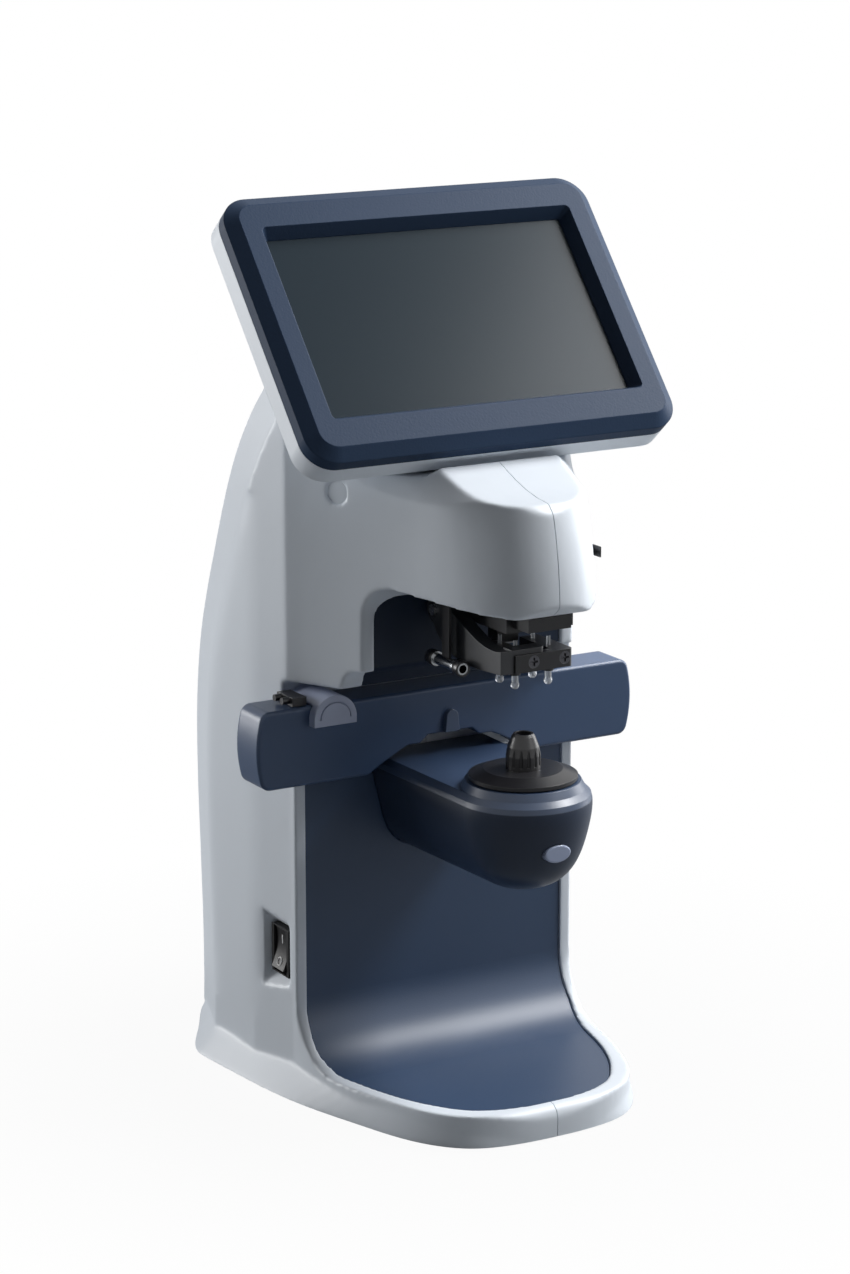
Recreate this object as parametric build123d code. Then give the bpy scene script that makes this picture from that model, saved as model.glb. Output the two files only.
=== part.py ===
from build123d import *
import os
from math import cos, radians, sin, tan

# An auto lensmeter for a bench: a C-shaped white body, a navy front panel, a table bar that slides
# towards the user, a nosepiece arm, a lens holder under the head and a tilting touch screen.
# Millimetres. Z is up, the user sits on the -Y side, X runs to the user's right.
# The origin is at the middle of the overall box, at the height of the surface it stands on.

# Running clearances and seams
FIT = 0.05            # radial clearance of a shaft in its bush
GAP = 0.3             # clearance between parts that move past each other
SEAM = 0.3            # line between the left and right covers

# Body: depths are measured from the foot's front edge at -FOOT_FRONT
FOOT_FRONT = 128.6
FOOT_TOP = 15.5
SKIRT_BOTTOM = 1.0
LIP_RADIUS = 6.0
COVE_RADIUS = 30.0
COLUMN_FRONT = 22.0   # crest of the column's rim, in front of the origin
COLUMN_TOP = 150.0    # where the column's panel ends under the table bar
BODY_HALF = 75.0      # half width at the column's front edge
BODY_WIDEST = 81.5
BODY_REAR = 119.3
SKIRT_HALF = 91.0
SKIRT_HEIGHT = 14.0
BAR_RECESS = 12.5
RECESS_TOP = 196.0
THROAT_FRONT = 51.0
THROAT_BOTTOM = 205.6
THROAT_TOP = 245.5
THROAT_RADIUS = 14.0
THROAT_HALF = 49.0     # half width of the panel at the back of the throat
THROAT_PANEL_Y = -49.8
THROAT_PANEL_TOP = 238.8
THROAT_PANEL_THICK = 2.5
NOSE_FRONT = 126.3
NOSE_BOTTOM = 239.4
HEAD_TOP_FRONT = 288.0
HEAD_TOP_REAR = 300.5
WELL_FLOOR = 296.0
BAND_FOOT = 283.0     # where the bevel of the head's top edge begins
CROWN = 338.0
CHAMFER_ANGLE = 67.0  # direction of the rear corner faces, from the X axis

# Front panel
PANEL_HALF = 69.0
PANEL_THICK = 3.0
PANEL_DEPTH = 1.2     # how far the panel lies under the covers' rim
PANEL_FRONT = 121.5
PANEL_END = 1.5       # how far the panel ends under the recess of the table bar

# Optical axis, nosepiece and its arm
AXIS_Y = -97.4
ARM_SPLIT = 152.0
ARM_TOP = 157.0
ARM_BOTTOM = 112.0
ARM_NOSE_RADIUS = 31.0
ARM_ROOT_HALF = 33.0
ARM_ROOT_Y = -14.0
# height, nose radius and half width at the root of each section of the arm's lower housing
ARM_SECTIONS = [(152, 31.0, 33.0), (140, 29.8, 31.0), (128, 26.5, 28.0), (119, 21.5, 24.0), (114, 15.5, 19.0),
                (112, 10.5, 15.5)]
RING_TOP = 160.5
RING_RADIUS = 26.0
DISC_RADIUS = 24.5
DISC_TOP = 165.4
NOSE_TIP = 181.3
NOSE_TIP_RADIUS = 5.3
NOSE_BORE_RADIUS = 3.5
BARREL_RADIUS = 7.8
BARREL_TOP = 175.5
FLUTES = 14
GLASS_RADIUS = 10.1
WINDOW_TOP = 154.3

# Read button on the arm's nose
BUTTON_Z = 133.0
BUTTON_WIDTH = 13.5
BUTTON_HEIGHT = 8.0
BUTTON_PROUD = 1.2

# Table bar and the slider on it
BAR_LENGTH = 200.0
BAR_BOTTOM = 152.2
BAR_TOP = 188.7
BAR_FRONT = -34.15
BAR_REAR = -14.5
ROD_RADIUS = 4.0
ROD_X = 34.0
ROD_Z = 172.0
ROD_END = 50.0
ROD_SEAT = 8.0
BUSH_RADIUS = 7.0
BUSH_LENGTH = 26.0
SLIDER_X = -63.0
SLIDER_RADIUS = 10.8
SLIDER_BASE = 180.0
SLIDER_SLAB = 3.0
SLIDER_FRONT = -39.5

# Lens holder, light port and marking unit
LENS_RADIUS = 5.0
HEAD_PLATE = 250.0
HOUSING_LEFT = 14.5
HOUSING_RIGHT = 20.0
CARRIAGE_Y = -80.0
CARRIAGE_HALF = 5.5
LEVER_X = 41.0
LEVER_Y = -90.0
LEVER_Z = 259.7
LEVER_SHAFT_RADIUS = 2.0
ROLLER_X = -27.0
ROLLER_Z = 212.4
PIVOT_Y = -57.0
PIVOT_Z = 232.0
PIVOT_EYE = 6.2       # radius of the arm's eye round the pivot
PIVOT_RADIUS = 2.5
HOLDER_BOTTOM = 214.0
HOLDER_TOP = 222.0
HOLDER_HALF = 15.0
HOLDER_FRONT = -114.5
HOLDER_ARM_THICK = 7.0
HOLDER_SCREW_RADIUS = 2.9
HOLDER_SCREW_HEAD = 2.6
HOLDER_SCREW_X = (-5.4, 10.6)
HOLDER_SCREW_Z = 218.3
TONGUE_THICK = 2.4
PIN_X = 8.6
PIN_Y = 6.4
PIN_TIP = 204.0
PIN_TRAVEL = 1.5
PIN_RADIUS = 1.5
PIN_BALL_RADIUS = 1.9
PIN_STEM_RADIUS = 0.9
PIN_COLLAR = 210.6

# Screen: the face plane passes through SCREEN_Y, SCREEN_Z and leans back by SCREEN_TILT
SCREEN_Y = -38.3
SCREEN_Z = 362.8
SCREEN_TILT = 40.4
SCREEN_WIDTH = 190.0
SCREEN_HEIGHT = 136.2
SCREEN_CORNER = 14.0
BEZEL_DEPTH = 10.2
BEZEL_CHAMFER_DEPTH = 4.2
BEZEL_CHAMFER_WIDTH = 5.8
BACK_RIM_DEPTH = 20.2
SCREEN_DEPTH = 32.0
BACK_INSET = 12.0
GLASS_DEPTH = 6.3
GLASS_THICK = 1.8
OPENING_WIDTH = 160.4
OPENING_HEIGHT = 99.2
OPENING_SHIFT = 0.8
OPENING_SLOPE = 3.7
HINGE_V = -61.0       # hinge axis in the screen's own plane, along its height
HINGE_W = 15.2        # and behind its face
HINGE_X = 24.0
LUG_THICK = 7.6
LUG_RADIUS = 4.0
LUG_BASE = 284.0
HINGE_PIN_RADIUS = 1.5

# Power switch in the left cover
SWITCH_Y = -7.0
SWITCH_Z = 66.0
SWITCH_WALL_X = -76.6
ROCKER_WIDTH = 11.0
ROCKER_HEIGHT = 21.0
ROCKER_ANGLE = 8.0
ROCKER_X = -70.0
ROCKER_DEPTH = 3.0
ROCKER_FACE = -5.5
INLET_X = -28.0
INLET_Z = 41.0
INLET_FACE = 117.0

# Base, frame and fixings
FOOT_PAD_RADIUS = 8.0
BASE_THICK = 2.0
PLATE_TOP = 4.0
FRAME_TOP = 188.0
BOARD_Y = 56.0
PLUG_X = 62.6
PLUG_Y = -39.0
PLUG_Z = 286.0
PLUG_RADIUS = 5.1
PLUG_SINK = 2.4       # how deep the plug's face lies in its hole
PLUG_THICK = 1.8


def side(points):
    """A closed outline in the side view, as (depth, height) points joined by straight lines."""
    return make_face(Polyline(*points, close=True))


def slab(face, x_from, x_to):
    """A side-view face made solid between two planes across the width."""
    return extrude(Plane.YZ.offset(x_from) * face, x_to - x_from)


def block(x, y, z):
    """A box from three (low, high) pairs."""
    size = [span[1] - span[0] for span in (x, y, z)]
    middle = [(span[0] + span[1]) / 2 for span in (x, y, z)]
    return Pos(*middle) * Box(*size)


def rod_y(radius, y_from, y_to, x, z):
    """A round bar along Y."""
    middle = (y_from + y_to) / 2
    return Pos(x, middle, z) * Rot(90, 0, 0) * Cylinder(radius, y_to - y_from)


def rod_x(radius, x_from, x_to, y, z):
    """A round bar along X."""
    middle = (x_from + x_to) / 2
    return Pos(middle, y, z) * Rot(0, 90, 0) * Cylinder(radius, x_to - x_from)


def rod_z(radius, z_from, z_to, x, y):
    """A round bar along Z."""
    return Pos(x, y, (z_from + z_to) / 2) * Cylinder(radius, z_to - z_from)


def both_sides(half):
    """A half outline from the middle to the right, with its mirror image put before it."""
    return [(-x, y) for x, y in reversed(half[1:])] + half


def closed_curve(half):
    """A smooth closed curve through a half outline from middle line to middle line, and its mirror image."""
    mirrored = [(-x, y) for x, y in reversed(half[1:-1])]
    return Spline(*half, *mirrored, periodic=True)


# Body covers

def foot_side(front, top, column, cove, end):
    """Side view of foot, cove and column front as one open line that ends at the height end."""
    lip = LIP_RADIUS
    path = Line((-front, SKIRT_BOTTOM), (-front, top - lip))
    path += RadiusArc((-front, top - lip), (-front + lip, top), lip)
    path += Line((-front + lip, top), (-column - cove, top))
    path += RadiusArc((-column - cove, top), (-column, top + cove), -cove)
    path += Line((-column, top + cove), (-column, end))
    return path


def throat_step(depth):
    """Side view of the step from the bar's recess up to the throat, some depth behind its surface."""
    return [(-40 + depth, RECESS_TOP), (-41.7 + depth, 201.3 + depth / 2), (-44.5 + depth / 2, 204.4 + depth),
            (-THROAT_FRONT + depth, THROAT_BOTTOM + depth)]


def body_side():
    """Side view of the whole body."""
    arc = THROAT_RADIUS
    front = foot_side(FOOT_FRONT, FOOT_TOP, COLUMN_FRONT, COVE_RADIUS, COLUMN_TOP)
    inner = Polyline(
        (-COLUMN_FRONT, COLUMN_TOP), (-BAR_RECESS, COLUMN_TOP), (-BAR_RECESS, RECESS_TOP), *throat_step(0),
        (-THROAT_FRONT, THROAT_TOP - arc))
    corner = RadiusArc((-THROAT_FRONT, THROAT_TOP - arc), (-THROAT_FRONT - arc, THROAT_TOP), -arc)
    under = Polyline((-THROAT_FRONT - arc, THROAT_TOP), (-121, NOSE_BOTTOM), (-NOSE_FRONT, NOSE_BOTTOM + 4.6),
                     (-NOSE_FRONT - 5, NOSE_BOTTOM + 10), (-NOSE_FRONT - 5, HEAD_TOP_FRONT))
    nose = Line((-NOSE_FRONT - 5, HEAD_TOP_FRONT), (-116.6, HEAD_TOP_FRONT + 0.6))
    top = Spline((-116.6, HEAD_TOP_FRONT + 0.6), (-105.4, 289.9), (-93.1, 293.2), (-75.5, HEAD_TOP_REAR))
    well = Polyline((-75.5, HEAD_TOP_REAR), (-72, WELL_FLOOR), (-53, WELL_FLOOR), (-8, 333.4))
    back = Spline(
        (-8, 333.4), (20, CROWN), (55.6, 316), (88.3, 262), (109.5, 196), (BODY_REAR, 105),
        (117, SKIRT_BOTTOM))
    floor = Line((117, SKIRT_BOTTOM), (-FOOT_FRONT, SKIRT_BOTTOM))
    return make_face([front, inner, corner, under, nose, top, well, back, floor])


def plan_face(front_half, shoulder_y):
    """Plan of the body: a curved front, side walls that widen a little, and a square rear."""
    front = Spline(*both_sides(front_half))
    rear = Polyline(
        (BODY_HALF, shoulder_y), (80, 10), (BODY_WIDEST, 50), (BODY_WIDEST, 140),
        (-BODY_WIDEST, 140), (-BODY_WIDEST, 50), (-80, 10), (-BODY_HALF, shoulder_y))
    return make_face([front, rear])


def foot_plan():
    """Plan of the foot and column."""
    half = [(0, -FOOT_FRONT), (22, -127.2), (40, -120.5), (53, -107), (62, -87), (68, -68), (72.5, -45),
            (BODY_HALF, -18.5)]
    return plan_face(half, -18.5)


def head_plan(taper):
    """Plan of the head and upper column, narrow at the nose, drawn in by taper at the nose."""
    half = [(0, -NOSE_FRONT + taper), (17 - taper / 3, -122 + taper), (29 - taper / 2, -110 + taper * 0.7),
            (36 - taper / 3, -97 + taper / 2), (44 - taper / 4, -77 + taper / 4), (56 - taper / 6, -50),
            (BODY_HALF, -15)]
    return plan_face(half, -15)


def head_block():
    """The head and upper column as a column of plans that draws in towards the top of the nose."""
    tapers = [(238, 0), (262, 1.4), (288, 6.8), (304, 11.5)]
    low = Pos(0, 0, COLUMN_TOP) * extrude(head_plan(0), tapers[0][0] - COLUMN_TOP)
    middle = loft([Pos(0, 0, height) * head_plan(taper) for height, taper in tapers])
    high = Pos(0, 0, tapers[-1][0]) * extrude(head_plan(tapers[-1][1]), 40)
    return low + middle + high


def head_band():
    """What is left of the head above its bevelled top edge."""
    foot = [(0, -121.6), (16, -120), (25.5, -114), (32, -106), (37, -94), (44, -76), (56, -52), (80, -10)]
    crest = [(0, -105), (9, -104.5), (15, -101), (20, -95), (24.5, -86), (34, -70), (52, -48), (80, -8)]
    outlines = []
    for height, half in ((BAND_FOOT, foot), (BAND_FOOT + 18, crest)):
        curve = Spline(*both_sides(half))
        rear = Polyline(half[-1], (100, 140), (-100, 140), (-half[-1][0], half[-1][1]))
        outlines.append(Pos(0, 0, height) * make_face([curve, rear]))
    return loft(outlines, ruled=True)


def rear_corner():
    """What the slanting face takes off the left rear corner, following the back's curve."""
    reach = 100.0
    shift = (reach - BODY_WIDEST) * tan(radians(CHAMFER_ANGLE))
    crease = [(49, -5), (51, 105), (45, 194), (29, 235), (8.3, 279), (-21, 315), (-60, 345)]
    points = [(y - shift, z) for y, z in crease]
    outline = make_face([Spline(*points), Polyline(points[-1], (400, 345), (400, -5), points[0])])
    direction = Vector(cos(radians(CHAMFER_ANGLE)), sin(radians(CHAMFER_ANGLE)), 0)
    return extrude(Plane.YZ.offset(-reach) * outline, 2 * reach, dir=direction)


def skirt():
    """The flare round the bottom of the body, widest at the rear corners."""
    low_half = [(0, -FOOT_FRONT), (22, -127.4), (41, -121.5), (54, -109), (70, -72), (81, -36), (88, 10),
                (SKIRT_HALF - 0.3, 38), (SKIRT_HALF, 47), (88, 57), (75, 79), (52, 113), (30, 124),
                (0, FOOT_FRONT)]
    high_half = [(0, -FOOT_FRONT + 2), (22, -125.6), (39, -119.5), (52, -106.5), (66, -72), (73, -36),
                 (79, 10), (81, 36), (80.6, 46), (76, 57), (65, 78), (47, 103), (26, 113.5), (0, 117.5)]
    low = Pos(0, 0, SKIRT_BOTTOM) * make_face(closed_curve(low_half))
    high = Pos(0, 0, SKIRT_HEIGHT) * make_face(closed_curve(high_half))
    return loft([low, high])


def body_form():
    """The left half of the body as one closed form, before anything is cut out of it."""
    prism = slab(body_side(), -95, -SEAM / 2)
    low = prism & extrude(foot_plan(), COLUMN_TOP)
    high = prism & head_block()
    nose = block((-95, 0), (-140, -40), (BAND_FOOT, BAND_FOOT + 18))
    high = (high - nose) + (high & nose & head_band())
    form = (low + high) - rear_corner()
    return form + (skirt() & block((-95, -SEAM / 2), (-200, 200), (0, 20)))


def body_cavity():
    """Room inside the covers for the frame, the electronics and the light source."""
    column = block((-62, 62), (-8, 78), (-1, 190))
    upper = block((-48, 48), (-5, 50), (180, 282))
    head = block((-22, 22), (-107.5, 0), (247, 272))
    foot = block((-38, 38), (-116, 0), (-1, 10))
    return column + upper + head + foot


# Front panel

def cove_path(depth, end):
    """Side view of a surface along the foot, through the cove and up the column to the height end."""
    top = FOOT_TOP - depth
    column = COLUMN_FRONT - depth
    cove = COVE_RADIUS + depth
    path = [Line((-FOOT_FRONT - 5, top), (-column - cove, top))]
    path.append(RadiusArc((-column - cove, top), (-column, top + cove), -cove))
    path.append(Line((-column, top + cove), (-column, end)))
    return path


def bent_sheet(outer_depth, inner_depth, half, end):
    """A bent sheet between two depths under the covers' surface."""
    outer = cove_path(outer_depth, end)
    inner = cove_path(inner_depth, end)
    caps = [Line(outer[0] @ 0, inner[0] @ 0), Line(outer[2] @ 1, inner[2] @ 1)]
    return slab(make_face(outer + inner + caps), -half, half)


def panel_outline(extra):
    """What the panel covers in plan: round at the foot's front, straight along the column."""
    front = -PANEL_FRONT - extra
    limit = PANEL_HALF + extra
    half = [(0, front), (20, front + 2), (36, front + 9), (46 + extra, -101), (55 + extra, -84),
            (62 + extra, -62), (limit, -30)]
    rear = Polyline((limit, -30), (limit, 0), (-limit, 0), (-limit, -30))
    return extrude(make_face([Spline(*both_sides(half)), rear]), COLUMN_TOP + 5)


def build_panel():
    """The navy panel over foot, cove and column, in one bent piece."""
    sheet = bent_sheet(PANEL_DEPTH, PANEL_DEPTH + PANEL_THICK, PANEL_HALF, COLUMN_TOP - PANEL_END)
    return sheet & panel_outline(0)


def panel_recess():
    """The shallow recess in the covers that the panel lies in, open to the front."""
    sheet = bent_sheet(-3, PANEL_DEPTH + PANEL_THICK + SEAM, PANEL_HALF + SEAM, COLUMN_TOP + 1)
    return sheet & panel_outline(SEAM)


# Nosepiece arm

def arm_outline(nose_radius, root_half, height):
    """Plan of the arm at one height: a round nose about the optical axis and nearly straight sides."""
    tip = AXIS_Y - nose_radius
    sides = Polyline(
        (nose_radius, AXIS_Y), (root_half, ARM_ROOT_Y), (-root_half, ARM_ROOT_Y), (-nose_radius, AXIS_Y))
    nose = ThreePointArc((-nose_radius, AXIS_Y), (0, tip), (nose_radius, AXIS_Y))
    return Pos(0, 0, height) * make_face([sides, nose])


def arm_body():
    """The arm's lower housing as a closed form, from the split line down to its keel."""
    return loft([arm_outline(nose, root, height) for height, nose, root in ARM_SECTIONS])


def build_arm_lower():
    """The arm's lower housing with room for the sensor and the button."""
    room = block((-17, 17), (-112, -30), (122, ARM_SPLIT + 1))
    body = arm_body() - room
    hole = button_shape(GAP, AXIS_Y - ARM_NOSE_RADIUS - 5, -117.5)
    return body - hole


def build_arm_upper():
    """The arm's top cover with its bevelled edge and the raised ring round the nosepiece."""
    plate = loft([arm_outline(ARM_NOSE_RADIUS, ARM_ROOT_HALF, ARM_SPLIT),
                  arm_outline(ARM_NOSE_RADIUS - 0.6, ARM_ROOT_HALF - 0.6, ARM_TOP - 2.5)])
    bevel = loft([arm_outline(ARM_NOSE_RADIUS - 0.6, ARM_ROOT_HALF - 0.6, ARM_TOP - 2.5),
                  arm_outline(ARM_NOSE_RADIUS - 3.1, ARM_ROOT_HALF - 3.1, ARM_TOP)])
    ring = Pos(0, AXIS_Y, (ARM_TOP + RING_TOP) / 2) * Cone(
        ARM_NOSE_RADIUS - 3.1, RING_RADIUS, RING_TOP - ARM_TOP)
    cover = plate + bevel + ring - rod_z(GLASS_RADIUS - 0.8, ARM_SPLIT - 1, RING_TOP + 1, 0, AXIS_Y)
    return cover - rod_z(GLASS_RADIUS + FIT, ARM_SPLIT + 0.9, RING_TOP + 1, 0, AXIS_Y)


def build_protective_glass():
    """The round window under the nosepiece that keeps dust out of the sensor."""
    return rod_z(GLASS_RADIUS, ARM_SPLIT + 0.9, WINDOW_TOP, 0, AXIS_Y)


def build_measuring_lens():
    """The lens over the image sensor."""
    return rod_z(GLASS_RADIUS - 1.1, ARM_SPLIT - 12, ARM_SPLIT + 0.6, 0, AXIS_Y)


def build_sensor_board():
    """The image sensor's board on the floor of the arm, under the measuring lens."""
    board = block((-16, 16), (-111, -40), (122, 123.6))
    sensor = block((-7, 7), (AXIS_Y - 7, AXIS_Y + 7), (123.6, ARM_SPLIT - 12))
    return board + sensor


def build_disc():
    """The black disc that the lens edge slides over, with its bevelled top."""
    outline = Plane.XZ * make_face(Polyline(
        (BARREL_RADIUS + FIT, RING_TOP), (21, RING_TOP), (21, RING_TOP + 0.6), (DISC_RADIUS, RING_TOP + 0.6),
        (DISC_RADIUS, DISC_TOP - 2.6), (17.8, DISC_TOP), (BARREL_RADIUS + FIT, DISC_TOP), close=True))
    return Pos(0, AXIS_Y, 0) * revolve(outline, Axis.Z)


def build_nosepiece():
    """The black nosepiece: a fluted barrel, a cone and a round tip that carries the lens."""
    bottom = WINDOW_TOP + GAP
    outline = Plane.XZ * make_face(Polyline(
        (NOSE_BORE_RADIUS, bottom), (BARREL_RADIUS, bottom), (BARREL_RADIUS, DISC_TOP + 6),
        (BARREL_RADIUS - 0.7, BARREL_TOP), (NOSE_TIP_RADIUS, NOSE_TIP - 1.2),
        (NOSE_TIP_RADIUS - 0.8, NOSE_TIP), (NOSE_BORE_RADIUS, NOSE_TIP), close=True))
    body = revolve(outline, Axis.Z)
    flute = rod_z(0.8, DISC_TOP + 1.5, BARREL_TOP + 1.5, BARREL_RADIUS + 0.2, 0)
    for index in range(FLUTES):
        body -= Rot(0, 0, 360 * index / FLUTES) * flute
    return Pos(0, AXIS_Y, 0) * body


def button_shape(extra, y_from, y_to):
    """An oval bar along Y at the read button's place."""
    oval = Ellipse(BUTTON_WIDTH / 2 + extra, BUTTON_HEIGHT / 2 + extra)
    plane = Plane(origin=(0, y_from, BUTTON_Z), x_dir=(1, 0, 0), z_dir=(0, -1, 0))
    return extrude(plane * oval, -(y_to - y_from))


def build_read_button():
    """The oval read button on the arm's nose."""
    face = AXIS_Y - 28.4 - BUTTON_PROUD
    button = button_shape(0, face, -119.5)
    rim = button.edges().group_by(Axis.Y)[0]
    return fillet(rim, 0.8)


# Table bar and slider

def bar_notch():
    """Front outline of the cut-out under the bar's middle, which clears the nosepiece disc."""
    half = [(11.7, 167.2), (16, 163.7), (22.4, 163.6), (26.6, 161.8), (38, 155.9), (45, BAR_BOTTOM - 1)]
    points = [(-x, z) for x, z in reversed(half)] + half
    return make_face(Polyline(*points, close=True))


def bar_outline():
    """Front outline of the bar: its ends bulge a little and its corners are round."""
    half = BAR_LENGTH / 2
    low = BAR_BOTTOM
    high = BAR_TOP
    middle = (low + high) / 2
    ends = half - 3
    outline = make_face([
        Line((-ends, low), (ends, low)), ThreePointArc((ends, low), (half, middle), (ends, high)),
        Line((ends, high), (-ends, high)), ThreePointArc((-ends, high), (-half, middle), (-ends, low))])
    return fillet(outline.vertices(), 5)


def build_table_bar():
    """The bar that the spectacles' lower rims rest against, with its cut-out and rod seats."""
    plane = Plane(origin=(0, BAR_REAR, 0), x_dir=(1, 0, 0), z_dir=(0, -1, 0))
    bar = extrude(plane * bar_outline(), BAR_REAR - BAR_FRONT)
    bar = chamfer(bar.edges().group_by(Axis.Y)[0], 1.0)
    bar -= extrude(plane * bar_notch(), BAR_REAR - BAR_FRONT)
    for x in (-ROD_X, ROD_X):
        bar -= rod_y(ROD_RADIUS + FIT, BAR_REAR - ROD_SEAT, BAR_REAR + 1, x, ROD_Z)
    return bar


def build_table_peg():
    """The small tongue on the bar's front face above the cut-out."""
    width = 7.5
    outline = make_face([
        Polyline((-3, 174.5), (-width / 2, 167.5), (width / 2, 167.5), (3, 174.5)),
        ThreePointArc((3, 174.5), (0, 177.8), (-3, 174.5))])
    plane = Plane(origin=(0, BAR_FRONT, 0), x_dir=(1, 0, 0), z_dir=(0, -1, 0))
    return extrude(plane * outline, 2.5)


def build_table_rods():
    """Two steel rods that carry the bar and slide in the frame's bushes."""
    return [rod_y(ROD_RADIUS, BAR_REAR - ROD_SEAT, ROD_END, x, ROD_Z) for x in (-ROD_X, ROD_X)]


def build_rod_bushes():
    """Plain bushes in the frame for the two rods."""
    bushes = []
    for x in (-ROD_X, ROD_X):
        bush = rod_y(BUSH_RADIUS, -4, -4 + BUSH_LENGTH, x, ROD_Z)
        bushes.append(bush - rod_y(ROD_RADIUS + FIT, -5, BUSH_LENGTH, x, ROD_Z))
    return bushes


def build_slider():
    """The saddle on the bar that finds the nose bridge: a half cylinder on a thin base."""
    rear = BAR_REAR + 1.5
    base = SLIDER_BASE + SLIDER_SLAB
    saddle = block((-SLIDER_RADIUS, SLIDER_RADIUS), (SLIDER_FRONT, rear), (SLIDER_BASE, base))
    upper = block((-SLIDER_RADIUS, SLIDER_RADIUS), (SLIDER_FRONT, rear), (base, base + SLIDER_RADIUS))
    saddle += rod_y(SLIDER_RADIUS, SLIDER_FRONT, rear, 0, base) & upper
    groove = rod_y(8.0, SLIDER_FRONT - 1, SLIDER_FRONT + 0.8, 0, base)
    groove -= rod_y(7.3, SLIDER_FRONT - 1, 0, 0, base)
    saddle -= groove & upper.moved(Pos(0, -2, 0))
    saddle = Pos(SLIDER_X, 0, 0) * saddle
    return saddle - block((-120, 120), (BAR_FRONT - GAP, BAR_REAR + GAP), (BAR_BOTTOM, BAR_TOP + GAP))


def build_slider_rollers():
    """The black roller block beside the saddle, with its two bright rollers."""
    left = SLIDER_X - SLIDER_RADIUS
    block_body = block((left - 7, left), (-32, -17), (BAR_TOP + GAP, BAR_TOP + 4.2))
    rollers = rod_x(1.6, left - 10.5, left - 7, -28, BAR_TOP + 2.6)
    rollers += rod_x(1.6, left - 10.5, left - 7, -21, BAR_TOP + 2.6)
    return block_body + rollers


# Lens holder

def build_holder_arm():
    """The banana-shaped arm from the pivot down to the frame's left front corner, with its tongue."""
    front = HOLDER_FRONT + 1
    top = HOLDER_TOP + TONGUE_THICK
    eye_bottom = (PIVOT_Y + 1, PIVOT_Z - PIVOT_EYE + 0.2)
    eye_top = (PIVOT_Y - 1, PIVOT_Z + PIVOT_EYE - 0.2)
    outer = Spline(eye_bottom, (-62, 219.5), (-84, 212.8), (front, HOLDER_BOTTOM))
    inner = Spline((front, top), (-92, 226), (-74, 233), eye_top)
    outline = make_face([outer, Line((front, HOLDER_BOTTOM), (front, top)), inner, Line(eye_top, eye_bottom)])
    arm = slab(outline, -HOLDER_HALF - HOLDER_ARM_THICK, -HOLDER_HALF)
    arm += rod_x(PIVOT_EYE, -HOLDER_HALF - HOLDER_ARM_THICK, -HOLDER_HALF, PIVOT_Y, PIVOT_Z)
    tongue = block((-HOLDER_HALF - 1, 1), (front, front + 7.5), (HOLDER_TOP, top))
    tip = tongue.edges().filter_by(Axis.Z).sort_by(Axis.X)[-2:]
    arm += fillet(tip, 3)
    return arm - rod_x(PIVOT_RADIUS + FIT, -40, 0, PIVOT_Y, PIVOT_Z)


def pin_places():
    """Where the four pins stand round the optical axis."""
    return [(x, AXIS_Y + y) for x in (-PIN_X, PIN_X) for y in (-PIN_Y, PIN_Y)]


def build_holder_frame():
    """The U-shaped frame that carries the four pins round the optical axis."""
    frame = block((-HOLDER_HALF, HOLDER_HALF), (HOLDER_FRONT, AXIS_Y + 12.5), (HOLDER_BOTTOM, HOLDER_TOP))
    corner = frame.edges().filter_by(Axis.Z).sort_by_distance((HOLDER_HALF, HOLDER_FRONT, HOLDER_TOP))[0]
    frame = fillet(corner, 2.5)
    gap = PIN_X - 3.2
    frame -= block((-gap, gap), (HOLDER_FRONT + 5, AXIS_Y + 14), (HOLDER_BOTTOM - 1, HOLDER_TOP + 1))
    for x, y in pin_places():
        frame += rod_z(PIN_RADIUS + 1.0, PIN_COLLAR, HOLDER_BOTTOM, x, y)
        frame -= rod_z(PIN_RADIUS + FIT, PIN_COLLAR - 1, HOLDER_TOP - 2, x, y)
        frame -= rod_z(PIN_STEM_RADIUS + FIT, HOLDER_BOTTOM, HOLDER_TOP + 1, x, y)
    seat = HOLDER_FRONT + HOLDER_SCREW_HEAD
    for x in HOLDER_SCREW_X:
        frame -= rod_y(HOLDER_SCREW_RADIUS, HOLDER_FRONT - 1, seat, x, HOLDER_SCREW_Z)
    return frame


def build_holder_screws():
    """Two cross-head screws sunk flush in the front of the holder's frame."""
    screws = []
    seat = HOLDER_FRONT + HOLDER_SCREW_HEAD
    for x in HOLDER_SCREW_X:
        screw = rod_y(HOLDER_SCREW_RADIUS - FIT, HOLDER_FRONT, seat, x, HOLDER_SCREW_Z)
        for width, height in ((3.8, 0.9), (0.9, 3.8)):
            screw -= block((x - width / 2, x + width / 2), (HOLDER_FRONT - 1, HOLDER_FRONT + 1.4),
                           (HOLDER_SCREW_Z - height / 2, HOLDER_SCREW_Z + height / 2))
        screws.append(screw)
    return screws


def build_pin(x, y):
    """One lens-holding pin: a round clear tip, a shank that slides in its collar and a thin stem."""
    tip = Pos(x, y, PIN_TIP + PIN_BALL_RADIUS) * Sphere(PIN_BALL_RADIUS)
    shank = rod_z(PIN_RADIUS, PIN_TIP + PIN_BALL_RADIUS, HOLDER_TOP - 2 - PIN_TRAVEL - GAP, x, y)
    stem = rod_z(PIN_STEM_RADIUS, HOLDER_BOTTOM, HOLDER_TOP + 4, x, y)
    return tip + shank + stem


def build_holder_shaft():
    """The shaft that the lens holder swings on."""
    return rod_x(PIVOT_RADIUS, -HOLDER_HALF - HOLDER_ARM_THICK - 1.5, 12, PIVOT_Y, PIVOT_Z)


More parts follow.
